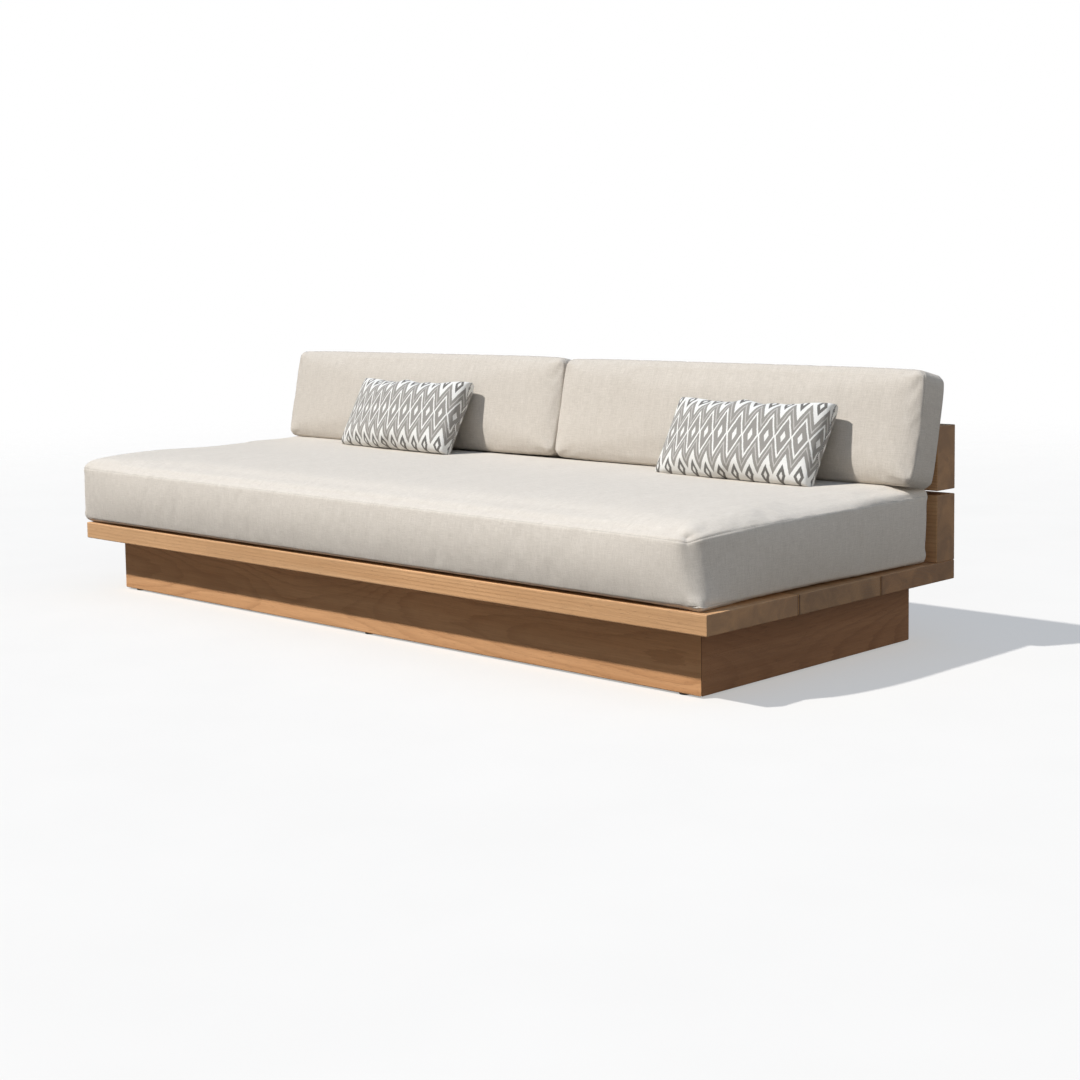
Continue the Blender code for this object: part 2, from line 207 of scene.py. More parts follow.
def add_floor():
    graph = Surface("studio_floor")
    x, y, _ = graph.split(graph.coords())
    graph.put(graph.shader.inputs["Alpha"],
              graph.remap(graph.distance(x, y), FLOOR_FADE[0], FLOOR_FADE[1], 1.0, 0.0, smooth=True))
    cloud = graph.remap(graph.noise(graph.coords(), 3.0), 0.3, 0.7, 0.985, 1.015)
    pale = graph.shaded(FLOOR_SEEN, cloud)
    seen = graph.node("LightPath").outputs["Is Camera Ray"]
    graph.put(graph.shader.inputs["Emission Color"], FLOOR_GLOW_COLOUR)
    graph.put(graph.shader.inputs["Emission Strength"], graph.math('MULTIPLY', seen, FLOOR_GLOW))
    graph.finish(graph.mix(seen, FLOOR_BOUNCE, pale), 0.5, 0.001, 0.9)
    bpy.ops.mesh.primitive_circle_add(vertices=96, radius=FLOOR_RADIUS, fill_type='NGON')
    floor = bpy.context.object
    floor.name = "floor"
    floor.data.materials.append(graph.material)


# ---- teak ----------------------------------------------------------------------------------------
TEAK_LIGHT = (0.62, 0.385, 0.205)
TEAK_MID = (0.50, 0.285, 0.138)
TEAK_DARK = (0.30, 0.150, 0.065)
TEAK_END = (0.27, 0.165, 0.095)
TEAK_PIT = (0.12, 0.07, 0.04)         # the open pores in the end grain
RINGS_PER_METRE = 150.0
# End grain beside each joint between boards is darkened: painted shade at the gap's mouth, and water
# stain.
JOINT_SHADE_AND_STAIN = (0.0015, 0.0045, 0.22)  # full up to the first distance, gone at the second, and its shade
GRAIN_TURN = {'X': (0, 0, 0), 'Y': (0, 0, -math.pi / 2), 'Z': (0, math.pi / 2, 0)}


def teak(name, grain, seed, pith, tone, joints=()):
    """Solid teak. Rings run round a pith line beside the board, so its ends show real end grain.

    joints are the Y positions of edges that lie against other boards. Their end grain is darkened
    beside the gap: painted shade there, and water stain.
    """
    graph = Surface(name)
    turned = graph.placed(graph.coords(), turn=GRAIN_TURN[grain])
    board = graph.placed(turned, shift=(seed * 3.71, seed * 0.137, seed * 0.091))
    _, across, up = graph.split(turned)
    wander = graph.noise(graph.placed(board, scale=(0.7, 2.0, 2.0)), 1.0, 2.0)
    drift = graph.math('MULTIPLY', graph.math('SUBTRACT', wander, 0.5), 0.16)
    ring_y = graph.math('ADD', graph.math('SUBTRACT', across, pith[0]), drift)
    ring_z = graph.math('ADD', graph.math('SUBTRACT', up, pith[1]), drift)
    radius = graph.distance(ring_y, ring_z)
    ragged = graph.noise(graph.placed(board, scale=(6.0, 90.0, 90.0)), 1.0, 3.0, 0.6)
    radius = graph.math('ADD', radius, graph.math('MULTIPLY', ragged, 0.004))
    ring = graph.math('FRACT', graph.math('MULTIPLY', radius, RINGS_PER_METRE))
    late = graph.remap(ring, 0.55, 0.97, smooth=True)
    band = graph.noise(graph.placed(board, scale=(0.55, 26.0, 26.0)), 1.0, 4.0, 0.55, 0.4)
    fibre = graph.noise(graph.placed(board, scale=(9.0, 420.0, 420.0)), 1.0, 3.0, 0.7)
    pores = graph.noise(graph.placed(board, scale=(34.0, 1300.0, 1300.0)), 1.0, 2.0, 0.5)
    pore = graph.remap(pores, 0.62, 0.72, smooth=True)
    blotch = graph.noise(graph.placed(board, scale=(1.6, 5.0, 5.0)), 1.0, 3.0, 0.6)

    colour = graph.mix(graph.remap(band, 0.32, 0.70), TEAK_LIGHT, TEAK_MID)
    colour = graph.mix(graph.math('MULTIPLY', late, graph.remap(blotch, 0.35, 0.7, 0.10, 0.50)),
                       colour, TEAK_DARK)
    colour = graph.mix(graph.remap(fibre, 0.35, 0.75, 0.0, 0.30), colour, TEAK_DARK)
    colour = graph.mix(graph.math('MULTIPLY', pore, 0.45), colour, TEAK_DARK)
    shade = graph.remap(blotch, 0.25, 0.75, 0.86, 1.10)
    colour = graph.shaded(colour, shade)

    speck = graph.noise(graph.placed(board, scale=(1.0, 700.0, 700.0)), 1.0, 2.0, 0.6)
    patch = graph.noise(graph.placed(board, scale=(2.0, 14.0, 14.0)), 1.0, 4.0, 0.6, 0.8)
    end = graph.mix(graph.math('MULTIPLY', late, 0.55), TEAK_END, TEAK_DARK)
    end = graph.mix(graph.remap(patch, 0.38, 0.66, 0.0, 0.55), end, TEAK_MID)
    end = graph.mix(graph.remap(speck, 0.45, 0.75, 0.0, 0.35), end, TEAK_PIT)
    normal = graph.placed(graph.coords("Normal"), turn=GRAIN_TURN[grain])
    facing = graph.math('ABSOLUTE', graph.split(normal)[0])
    is_end = graph.remap(facing, 0.75, 0.92, smooth=True)
    y = graph.split(graph.coords())[1]
    # painted shade and water stain on the end grain next to each joint
    near, far, darkest = JOINT_SHADE_AND_STAIN
    for joint in joints:
        away = graph.math('ABSOLUTE', graph.math('SUBTRACT', y, joint))
        stain = graph.remap(away, near, far, darkest, 1.0)
        end = graph.shaded(end, stain)
    colour = graph.mix(1.0, graph.mix(is_end, colour, end), tone, 'MULTIPLY')

    relief = graph.math('ADD', graph.math('MULTIPLY', fibre, 0.6), graph.math('MULTIPLY', pore, -0.5))
    relief = graph.math('ADD', relief, graph.math('MULTIPLY', late, 0.25))
    rough = graph.remap(fibre, 0.3, 0.8, 0.52, 0.68)
    return graph.finish(colour, relief, 0.0005, rough, Specular_IOR_Level=0.35)


def dress_timber():
    # each board's grain axis, the pith line's place on the other two axes, and its tone; three tones
    # also hold painted light and shade
    boards = {
        # brighter: painted light on the sunlit front face
        "platform_plank_front": ('X', (0.03, -0.30), (1.24, 1.22, 1.20)),
        "platform_plank_middle": ('X', (0.16, -0.35), (1.0, 1.0, 1.0)),
        "platform_plank_rear": ('X', (0.30, -0.25), (1.0, 0.95, 0.92)),
        "lower_back_beam": ('X', (0.62, 0.12), (1.05, 1.02, 1.0)),
        "upper_back_beam": ('X', (0.34, 0.70), (1.05, 1.02, 1.0)),
        # brighter and warmer: painted light on the sunlit front face
        "plinth_front": ('X', (-0.62, 0.05), (1.20, 1.07, 0.98)),
        "plinth_back": ('X', (0.62, 0.12), (0.98, 0.92, 0.88)),
        # much darker: painted shade on the end that faces away from the sun
        "plinth_right": ('Y', (-1.40, 0.02), (0.64, 0.53, 0.49)),
        "plinth_left": ('Y', (1.30, 0.10), (0.98, 0.92, 0.88)),
        "bearer_left": ('Y', (0.50, -0.10), (0.95, 0.95, 0.95)),
        "bearer_right": ('Y', (-0.50, -0.10), (1.0, 1.0, 1.0)),
    }
    for end in ("front", "back"):
        for side in ("left", "right"):
            boards[f"corner_block_{end}_{side}"] = ('Z', (0.4, 0.1), (0.95, 0.95, 0.95))
    joints = {name: [] for name in boards}
    for front, rear in (("front", "middle"), ("middle", "rear")):
        joints[f"platform_plank_{front}"].append(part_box(f"platform_plank_{front}")[1].y)
        joints[f"platform_plank_{rear}"].append(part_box(f"platform_plank_{rear}")[0].y)
    for seed, (name, (grain, pith, tone)) in enumerate(boards.items(), 1):
        finish_node(name, teak(f"teak_{name}", grain, seed, pith, tone, joints[name]))


def finish_node(name, material):
    """Give a CAD node a better material. Its shape and place stay as they are."""
    materials = NODES[name].data.materials
    if not materials:
        materials.append(material)
    for index in range(len(materials)):
        materials[index] = material


# ---- hardware ------------------------------------------------------------------------------------
def metal(name, colour, roughness):
    graph = Surface(name)
    brushed = graph.noise(graph.placed(graph.coords(), scale=(60, 60, 900)), 1.0, 3.0)
    rough = graph.remap(brushed, 0.3, 0.7, roughness - 0.08, roughness + 0.10)
    stain = graph.noise(graph.coords(), 90.0)
    dull = tuple(channel * 0.72 for channel in colour)
    tint = graph.mix(graph.remap(stain, 0.4, 0.7), colour, dull)
    return graph.finish(tint, brushed, 0.00005, rough, Metallic=1.0)


def nylon():
    graph = Surface("nylon_black")
    grain = graph.noise(graph.coords(), 1500.0, 2.0)
    shade = graph.remap(graph.noise(graph.coords(), 40.0), 0.3, 0.7, 0.035, 0.06)
    return graph.finish(graph.join(shade, shade, shade), grain, 0.00008, 0.55)


def dress_hardware():
    steel = metal("stainless_steel", (0.60, 0.60, 0.59), 0.34)
    brass = metal("insert_brass", (0.72, 0.53, 0.25), 0.36)
    plastic = nylon()
    for name in NODES:
        if name.startswith(("tie_bolt", "plank_screw")):
            finish_node(name, steel)
        elif name.startswith("threaded_insert"):
            finish_node(name, brass)
        elif name.startswith(("glide", "beam_spacer")):
            finish_node(name, plastic)


# ---- cloth materials -----------------------------------------------------------------------------
CLOTH_UV = "cloth"
CANVAS_LIGHT = (0.785, 0.725, 0.648)
CANVAS_DARK = (0.580, 0.525, 0.455)
CANVAS_THREAD = 0.0011
STITCH_LENGTH = 0.0045
STITCH_SHARE = 0.62             # how much of each stitch's length its thread takes up
STITCH_WIDTH = 0.0018
PANEL_SHIFT = 10.0              # how far off the big panels lie from the side strips in the cloth UVs


def weave(graph, u, v, pitch):
    """A plain weave, threads pitch metres apart: its height 0..1, and 0..1 away from its gaps."""
    warp = graph.math('SINE', graph.math('MULTIPLY', u, math.pi / pitch))
    weft = graph.math('SINE', graph.math('MULTIPLY', v, math.pi / pitch))
    over = graph.math('MULTIPLY', warp, weft)
    height = graph.math('MULTIPLY_ADD', over, 0.5, 0.5)
    gap = graph.math('MULTIPLY', graph.math('ABSOLUTE', warp), graph.math('ABSOLUTE', weft))
    return height, gap


def canvas(name, seams, seed, tone_scale):
    """Heathered outdoor canvas: a plain weave, uneven threads, faint ribs and a stitched seam line."""
    graph = Surface(name)
    plain = graph.uv(CLOTH_UV)
    cloth = graph.placed(plain, shift=(seed, seed * 0.37, 0))
    u, v, _ = graph.split(cloth)
    height, gap = weave(graph, u, v, CANVAS_THREAD)
    slub_u = graph.noise(graph.placed(cloth, scale=(34.0, 420.0, 1.0)), 1.0, 3.0, 0.6)
    slub_v = graph.noise(graph.placed(cloth, scale=(420.0, 34.0, 1.0)), 1.0, 3.0, 0.6)
    fleck = graph.noise(graph.placed(cloth, scale=(420.0, 420.0, 1.0)), 1.0, 2.0, 0.6)
    ribs = graph.noise(graph.placed(cloth, scale=(75.0, 3.0, 1.0)), 1.0, 2.0, 0.5)
    cloud = graph.noise(graph.placed(cloth, scale=(9.0, 9.0, 1.0)), 1.0, 4.0, 0.6)
    tone = graph.math('ADD', graph.math('MULTIPLY', slub_u, 0.34), graph.math('MULTIPLY', slub_v, 0.34))
    tone = graph.math('ADD', tone, graph.math('MULTIPLY', fleck, 0.32))
    tone = graph.math('ADD', tone, graph.math('MULTIPLY', graph.math('SUBTRACT', ribs, 0.5), 0.10))
    tone = graph.math('ADD', tone, graph.math('MULTIPLY', graph.math('SUBTRACT', cloud, 0.5), 0.06))
    colour = graph.mix(graph.remap(tone, 0.36, 0.66), CANVAS_DARK, CANVAS_LIGHT)
    shadow = graph.remap(gap, 0.0, 0.5, 0.80 * tone_scale, tone_scale)
    stitch = stitches(graph, plain, seams)
    shadow = graph.math('MULTIPLY', shadow, graph.remap(stitch, 0.0, 1.0, 1.0, 0.70))
    colour = graph.shaded(colour, shadow)
    relief = graph.math('ADD', graph.math('MULTIPLY', height, 0.5), graph.math('MULTIPLY', fleck, 0.5))
    return graph.finish(colour, relief, 0.00045, 0.92, Specular_IOR_Level=0.15,
                        Sheen_Weight=0.12, Sheen_Roughness=0.5)


def stitches(graph, cloth, seams):
    """1 on the needle marks that run along the side strips at the seams."""
    u, v, _ = graph.split(cloth)
    turn = graph.math('FRACT', graph.math('DIVIDE', u, STITCH_LENGTH))
    dash = graph.math('LESS_THAN', turn, STITCH_SHARE)
    dash = graph.math('MULTIPLY', dash, graph.math('LESS_THAN', u, PANEL_SHIFT / 2))
    lines = 0.0
    for level in seams:
        away = graph.math('ABSOLUTE', graph.math('SUBTRACT', v, level))
        lines = graph.math('ADD', lines, graph.math('LESS_THAN', away, STITCH_WIDTH / 2))
    return graph.math('MULTIPLY', dash, lines)


# ---- box cushions --------------------------------------------------------------------------------
ROUND_STEPS = 5                 # lattice steps round each edge
SEAM_ROWS = (-0.0050, -0.0022, 0.0, 0.0022, 0.0050)     # lattice rows along a seam
ROW_GAP = 0.0011                # an even row that is nearer than this to a seam's row gives way
SLACK = 1e-6                    # in units of half a side, for telling which points lie on a face
SEAM_DEPTH = 0.0014
SEAM_WIDTH = 0.0028
SEAM_HOLD = 0.9                 # a seam's grip on the filling
PANEL_HOLD = 0.08               # a panel's
PANEL_GROWTH = 0.0015
PANEL_LIMIT = 0.006             # how far the simulation can move a panel's points
PANEL_FRAMES = 12
CORNER_RELAX = 8                # rounds of smoothing at the corners that a cushion's sides meet in
CLOTH_MASS = 0.12
CLOTH_STIFFNESS = 15.0
ZIP_BAND = (0.030, 0.018)       # half the width of the flat cloth along a zip, and its fade
ZIP_BAND_ENDS = (0.03, 0.05)    # how far that band keeps from the corners, and its fade


def axis_line(half, radius, step, extra=()):
    """Positions from -half to half: even in the middle, and at even angles round both edges."""
    arc = [half - radius + radius * math.tan(k * math.pi / 4 / ROUND_STEPS)
           for k in range(ROUND_STEPS + 1)]
    count = max(2, round(2 * (half - radius) / step))
    middle = [-(half - radius) + 2 * (half - radius) * k / count for k in range(1, count)]
    line = sorted([-a for a in arc] + middle + arc)
    for value in extra:
        line = [p for p in line if abs(p - value) > ROW_GAP or abs(p) >= half - 1e-9]
        line.append(value)
    return np.array(sorted(line))


def box_grid(lines):
    """The lattice points on a box's surface, and the quads between them, facing out."""
    counts = [len(line) for line in lines]
    index = {}
    points = []

    def point(i, j, k):
        key = (i, j, k)
        if key not in index:
            index[key] = len(points)
            points.append((lines[0][i], lines[1][j], lines[2][k]))
        return index[key]

    faces = []
    for axis in range(3):
        a, b = [(1, 2), (2, 0), (0, 1)][axis]
        for end in (0, counts[axis] - 1):
            for p in range(counts[a] - 1):
                for q in range(counts[b] - 1):
                    corner = [0, 0, 0]
                    quad = []
                    for dp, dq in ((0, 0), (1, 0), (1, 1), (0, 1)):
                        corner[axis], corner[a], corner[b] = end, p + dp, q + dq
                        quad.append(point(*corner))
                    faces.append(quad if end else quad[::-1])
    return np.array(points), faces


def round_off(points, half, radius):
    """Pull lattice points on a box's surface onto its rounded edges. Each point has its own radii."""
    inner = np.clip(points, radius - half, half - radius)
    out = (points - inner) / radius
    length = np.linalg.norm(out, axis=1, keepdims=True)
    return inner + radius * out / np.maximum(length, 1e-9)


def cloth_mesh(name, points, faces, cloth_uv, material):
    """A skin. cloth_uv gives its corners' places in the cloth, from the numbers of their points."""
    mesh = bpy.data.meshes.new(name)
    mesh.from_pydata(points.tolist(), [], faces)
    layer = mesh.uv_layers.new(name=CLOTH_UV)
    loops = np.array([loop.vertex_index for loop in mesh.loops])
    layer.data.foreach_set("uv", cloth_uv(loops).ravel())
    mesh.materials.append(material)
    mesh.shade_smooth()
    obj = bpy.data.objects.new(name, mesh)
    scene.collection.objects.link(obj)
    return obj


def box_cushion(name, size, radius, step, shape, seam_axis, seams, seed, tone):
    """A box cushion in its own frame, at its middle, with rows of points along its seams.

    radius sets the lattice's closer lines at the edges, and shape rounds and swells the points.
    """
    half = np.array(size) / 2
    lines = [axis_line(half[i], radius[i], step) for i in range(3)]
    levels = [seam * half[seam_axis] for seam in seams]
    rows = [level + offset for level in levels for offset in SEAM_ROWS]
    lines[seam_axis] = axis_line(half[seam_axis], radius[seam_axis], step, rows)
    lattice, faces = box_grid(lines)
    unit = lattice / half

    def panel_uv(loops):
        uv = np.zeros((len(loops), 2))
        corner = lattice[loops]
        centre = corner.reshape(-1, 4, 3).mean(axis=1)
        facing = np.repeat(np.argmax(np.abs(centre) / half, axis=1), 4)
        for axis in range(3):
            a, b = sorted((other for other in range(3) if other != axis),
                          key=lambda other: other == seam_axis)
            chosen = facing == axis
            uv[chosen, 0] = corner[chosen, a] + (PANEL_SHIFT if axis == seam_axis else 0)
            uv[chosen, 1] = corner[chosen, b]
        return uv

    material = canvas(f"canvas_{name}", levels, seed, tone)
    return cloth_mesh(name, shape(lattice.copy(), unit), faces, panel_uv, material), unit


def on_ring(unit, axis):
    """Lattice points on the four faces that go round an axis."""
    return np.any(np.abs(np.delete(unit, axis, axis=1)) > 1 - SLACK, axis=1)


def simulate(obj, pressure, frames, hold, growth=0.0, bend=0.5, limit=None):
    """Swell a cloth skin and keep the result. hold is each point's grip on its filling, 0 to 1."""
    mesh = obj.data
    rest = mesh_points(mesh)
    group = obj.vertex_groups.new(name="hold")
    for weight in np.unique(np.round(hold, 2)):
        group.add(np.flatnonzero(np.abs(hold - weight) < 0.005).tolist(), float(weight), 'REPLACE')
    modifier = obj.modifiers.new("cloth", 'CLOTH')
    settings = modifier.settings
    settings.quality = 5
    settings.mass = CLOTH_MASS
    settings.tension_stiffness = settings.compression_stiffness = CLOTH_STIFFNESS
    settings.shear_stiffness = CLOTH_STIFFNESS / 2
    settings.bending_stiffness = bend
    settings.use_pressure = True
    settings.uniform_pressure_force = pressure
    settings.shrink_min = -growth
    settings.vertex_group_mass = "hold"
    settings.pin_stiffness = 1.0
    settings.effector_weights.gravity = 0.0
    modifier.collision_settings.use_collision = False
    for frame_number in range(1, frames + 1):
        scene.frame_set(frame_number)
    swollen = obj.evaluated_get(bpy.context.evaluated_depsgraph_get()).to_mesh()
    moved = mesh_points(swollen)
    obj.modifiers.remove(modifier)
    obj.vertex_groups.clear()
    scene.frame_set(1)
    if limit:
        step = moved - rest
        length = np.linalg.norm(step, axis=1, keepdims=True)
        moved = rest + step * limit * np.tanh(length / limit) / np.maximum(length, 1e-9)
    put_points(mesh, moved)


def relax(obj, rounds, chosen):
    """Even out small ripples at the chosen points of a skin and keep its large folds."""
    bm = bmesh.new()
    bm.from_mesh(obj.data)
    bm.verts.ensure_lookup_table()
    verts = [bm.verts[index] for index in np.flatnonzero(chosen)]
    for _ in range(rounds):
        bmesh.ops.smooth_vert(bm, verts=verts, factor=0.5, use_axis_x=True, use_axis_y=True,
                              use_axis_z=True)
    bm.to_mesh(obj.data)
    bm.free()


def mesh_points(mesh):
    points = np.zeros(len(mesh.vertices) * 3)
    mesh.vertices.foreach_get("co", points)
    return points.reshape(-1, 3)


def put_points(mesh, points):
    mesh.vertices.foreach_set("co", points.ravel())
    mesh.update()


def sew(obj, unit, half, axis, seams, pressure, zip_face):
    """Swell the panels between the seams, draw the seams in and level the face that has the zip.

    zip_face is that face's axis and sign, the axis across the zip, and the zip's place along it.
    """
    away = np.min([np.abs(unit[:, axis] - level) for level in seams], axis=0)
    hold = np.where(on_ring(unit, axis) & (away < SLACK), SEAM_HOLD, PANEL_HOLD)
    simulate(obj, pressure, PANEL_FRAMES, hold, growth=PANEL_GROWTH, limit=PANEL_LIMIT)
    across = np.prod(np.delete(unit, axis, axis=1), axis=1)
    relax(obj, CORNER_RELAX, (np.abs(across) > 0.8) & (np.abs(unit[:, axis]) < 0.7))
    draw_seams(obj, unit, half, axis, seams)
    level_zip_band(obj, unit, half, *zip_face)
    smooth_finish(obj)


def level_zip_band(obj, unit, half, out, sign, across, place):
    """Lay the cloth flat along a zip, in a band on the face that looks along out."""
    points = mesh_points(obj.data)
    on_face = unit[:, out] * sign > 1 - SLACK
    away = np.abs(points[:, across] - place)
    from_end = half[0] - np.abs(points[:, 0])
    flat = ease((ZIP_BAND[0] - away) / ZIP_BAND[1]) * on_face
    flat = flat * ease((from_end - ZIP_BAND_ENDS[0]) / ZIP_BAND_ENDS[1])
    points[:, out] += (sign * half[out] - points[:, out]) * flat
    put_points(obj.data, points)


def ease(share):
    share = np.clip(share, 0, 1)
    return share * share * (3 - 2 * share)


def draw_seams(obj, unit, half, axis, seams):
    """Sink the cloth along each seam ring."""
    mesh = obj.data
    points = mesh_points(mesh)
    normals = np.zeros(len(points) * 3)
    mesh.vertex_normals.foreach_get("vector", normals)
    normals = normals.reshape(-1, 3)
    sink = np.zeros(len(points))
    for level in seams:
        away = (unit[:, axis] - level) * half[axis]
        sink += np.exp(-(away / SEAM_WIDTH) ** 2) * on_ring(unit, axis)
    put_points(mesh, points - normals * (SEAM_DEPTH * sink)[:, None])


def smooth_finish(obj):
    subdivide = obj.modifiers.new("smooth", 'SUBSURF')
    subdivide.levels = subdivide.render_levels = 1


def soft_piece(obj, body, nodes):
    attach(obj, body)
    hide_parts(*nodes)


# ---- zips ----------------------------------------------------------------------------------------
COVER_WALL = 0.0025                  # of the CAD covers, in whose walls the zip nodes lie
TAPE_WIDTH = 0.013
TAPE_THICKNESS = 0.0010
TAPE_RISE = 0.0004
TAPE_EDGE = 0.0004
CONCEALED_WIDTH = 0.004
CONCEALED_SLIDER = 0.6               # a concealed zip's slider, as a share of the usual width
TOOTH = (0.0016, 0.0016, 0.0038)     # along the zip, out of it and across it
TOOTH_PITCH = 0.0027
TOOTH_RISE = 0.0014
TOOTH_EDGE = 0.0005
SLIDER = (0.012, 0.0038, 0.008)
PULL = (0.006, 0.0012, 0.018)


def tape_cloth():
    graph = Surface("zip_tape_twill")
    twill = graph.placed(graph.coords(), scale=(900, 900, 900), turn=(0, 0, math.pi / 4))
    rib = graph.node("TexWave", {"Vector": twill, "Scale": 1.0, "Distortion": 0.6}).outputs["Fac"]
    tone = graph.mix(rib, (0.46, 0.42, 0.36), (0.62, 0.58, 0.51))
    return graph.finish(tone, rib, 0.0002, 0.85, Specular_IOR_Level=0.2)


def coil_nylon():
    graph = Surface("zip_coil_nylon")
    drift = graph.noise(graph.coords(), 220.0)
    tone = graph.mix(graph.remap(drift, 0.3, 0.7), (0.50, 0.46, 0.40), (0.60, 0.56, 0.49))
    return graph.finish(tone, drift, 0.0001, 0.45)


ZIP_TAPE = tape_cloth()
ZIP_COIL = coil_nylon()
ZIP_METAL = metal("zip_nickel", (0.55, 0.52, 0.47), 0.34)


def zip_middle(node):
    low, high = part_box(node)
    return (low + high) / 2


def add_zip(prefix, body, middle, node, concealed=False):
    """Tape, coil and slider. In the middle's frame X runs along the zip and Y points out of it."""
    low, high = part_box(node)
    length = high.x - low.x
    mouth = middle @ Matrix.Translation((0, COVER_WALL / 2, 0))
    width = CONCEALED_WIDTH if concealed else TAPE_WIDTH
    tape = block_piece(f"{prefix}_zip_tape",
                       [((length, TAPE_THICKNESS, width), (0, TAPE_RISE, 0), TAPE_EDGE)],
                       ZIP_TAPE, mouth)
    coil = teeth_piece(f"{prefix}_zip_coil", length, width * 0.3, mouth)
    scale = CONCEALED_SLIDER if concealed else 1.0
    along, out, across = SLIDER
    parts = [((along, out * 0.30, across * scale), (0, out * 0.85, 0), 0.0005),
             ((along, out * 0.30, across * scale), (0, out * 0.15, 0), 0.0005),
             ((along * 0.4, out * 0.9, across * 0.3 * scale), (along * 0.28, out * 0.5, 0), 0.0004)]
    if not concealed:
        parts += [((along * 0.5, out * 0.5, across * 0.22), (0, out * 1.05, 0), 0.0005),
                  (PULL, (0, out + PULL[1] / 2, -PULL[2] / 2), 0.0005),
                  ((PULL[0] * 0.55, PULL[1] * 1.8, PULL[2] * 0.5),
                   (0, out + PULL[1] / 2, -PULL[2] * 0.62), 0.0006)]
    at_end = mouth @ Matrix.Translation((length / 2 - SLIDER[0], 0, 0))
    slider = block_piece(f"{prefix}_zip_pull", parts, ZIP_METAL, at_end)
    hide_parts(node)
    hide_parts(f"{node}_slider")
    for piece, rider, slot in ((tape, body, "zip_tape"), (coil, body, "zip_tape"),
                               (slider, f"{node}_slider", "zip_metal")):
        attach(piece, rider)


def block_piece(name, parts, material, place):
    """Blocks with eased edges in one mesh. Each part is its size, middle and edge radius."""
    bm = bmesh.new()
    for size, middle, edge in parts:
        sized = Matrix.Translation(middle) @ Matrix.Diagonal((*size, 1))
        corners = bmesh.ops.create_cube(bm, size=1.0, matrix=sized)["verts"]
        edges = {e for corner in corners for e in corner.link_edges}
        bmesh.ops.bevel(bm, geom=list(edges), offset=edge * 0.95, segments=2, affect='EDGES')
    mesh = bpy.data.meshes.new(name)
    bm.to_mesh(mesh)
    bm.free()
    return placed_mesh(name, mesh, material, place)


def teeth_piece(name, length, shift, place):
    """Two rows of coil turns that lock into each other."""
    turn = bmesh.new()
    corners = bmesh.ops.create_cube(turn, size=1.0, matrix=Matrix.Diagonal((*TOOTH, 1)))["verts"]
    edges = {e for corner in corners for e in corner.link_edges}
    bmesh.ops.bevel(turn, geom=list(edges), offset=TOOTH_EDGE, segments=1, affect='EDGES')
    turn.verts.index_update()
    shape = np.array([corner.co for corner in turn.verts])
    faces = [[corner.index for corner in face.verts] for face in turn.faces]
    turn.free()
    count = int((length - TOOTH_PITCH) / TOOTH_PITCH)
    points, quads = [], []
    for k in range(count):
        side = 1 if k % 2 else -1
        middle = ((k - (count - 1) / 2) * TOOTH_PITCH, TOOTH_RISE, side * shift)
        quads += [[index + len(shape) * k for index in face] for face in faces]
        points.append(shape + middle)
    mesh = bpy.data.meshes.new(name)
    mesh.from_pydata(np.vstack(points).tolist(), [], quads)
    return placed_mesh(name, mesh, ZIP_COIL, place)


def placed_mesh(name, mesh, material, place):
    mesh.materials.append(material)
    obj = bpy.data.objects.new(name, mesh)
    obj.matrix_world = place
    scene.collection.objects.link(obj)
    return obj


# ---- mattress ------------------------------------------------------------------------------------
MATTRESS_TOP_RADIUS = (0.052, 0.044, 0.034)
MATTRESS_FOOT_RADIUS = (0.022, 0.014, 0.034)
MATTRESS_REAR_CORNER = 0.35      # the rear upright corners' radii, as a share of the front ones'
MATTRESS_LEFT_CORNER = 0.60      # the same for the front left corner
MATTRESS_REAR_TOP = 0.55         # and for the height of the rear edges' rounding
MATTRESS_EDGE_TOP = 0.4120       # height of the left end's top
MATTRESS_RIGHT_RISE = -0.0040    # how much higher the right end's top lies
MATTRESS_FRONT_SAG = (0.0175, 0.0045)  # how far the front edge sags, and how that grows to the right
MATTRESS_SAG_REACH = 0.7         # how far back the sag goes, in half depths
MATTRESS_CROWN = (0.0010, -0.0025)     # how far the middle stands above the edge, and its slope
MATTRESS_CORNER_DIP = 0.006      # how far the front right corner hangs
MATTRESS_CORNER_PULL = 0.038     # how far that corner is drawn in to the left
MATTRESS_BELLY = 0.013           # how far the front swells out
MATTRESS_END_SWELL = 0.012       # how far the ends do
MATTRESS_SEAMS = (0.76, -0.92)   # as shares of half the height, from the middle
MATTRESS_STEP = 0.015
MATTRESS_PRESSURE = 1.2


